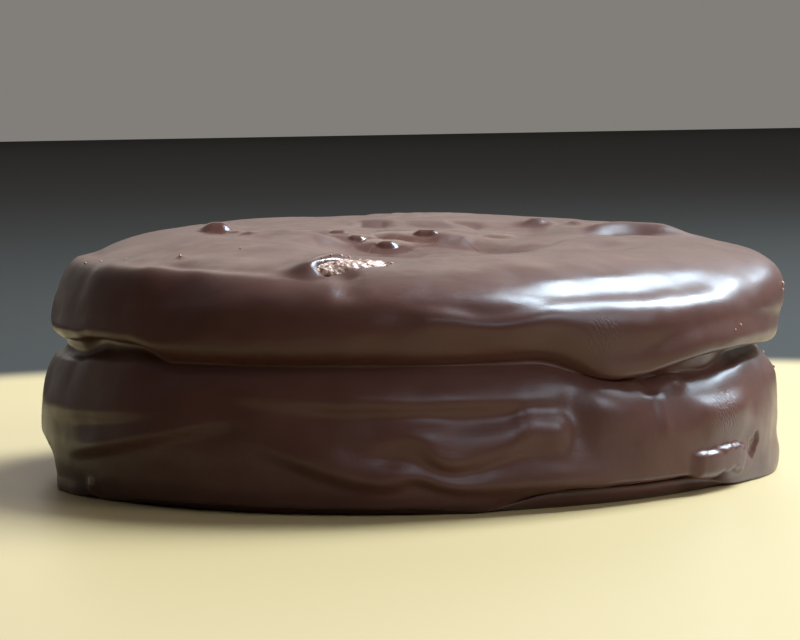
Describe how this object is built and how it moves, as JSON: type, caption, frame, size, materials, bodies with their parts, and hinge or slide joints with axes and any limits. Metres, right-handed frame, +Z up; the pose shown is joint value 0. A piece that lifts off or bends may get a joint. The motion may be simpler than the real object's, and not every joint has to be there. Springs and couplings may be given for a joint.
{
  "type": "alfajor cookie",
  "caption": "Two round biscuits pressed together and covered all over in milk chocolate, with a waist between them, soft folds in the coat and a small crack on top that bares the biscuit.",
  "frame": {"origin": "on the underside, below the middle of the bounding box", "axes": "+Z up through both biscuits, the side with the crack in the coat faces -Y, +X to the right of a person who looks at that side"},
  "size_m": [0.0628, 0.0622, 0.0208],
  "materials": {
    "milk_chocolate": "set milk chocolate, satin to glossy, with soft folds",
    "baked_biscuit": "broken baked biscuit, rough, with a little fat shine"
  },
  "bodies": {
    "root": {"chocolate_coat": "milk_chocolate", "biscuit_crumb": "baked_biscuit"}
  },
  "joints": []
}
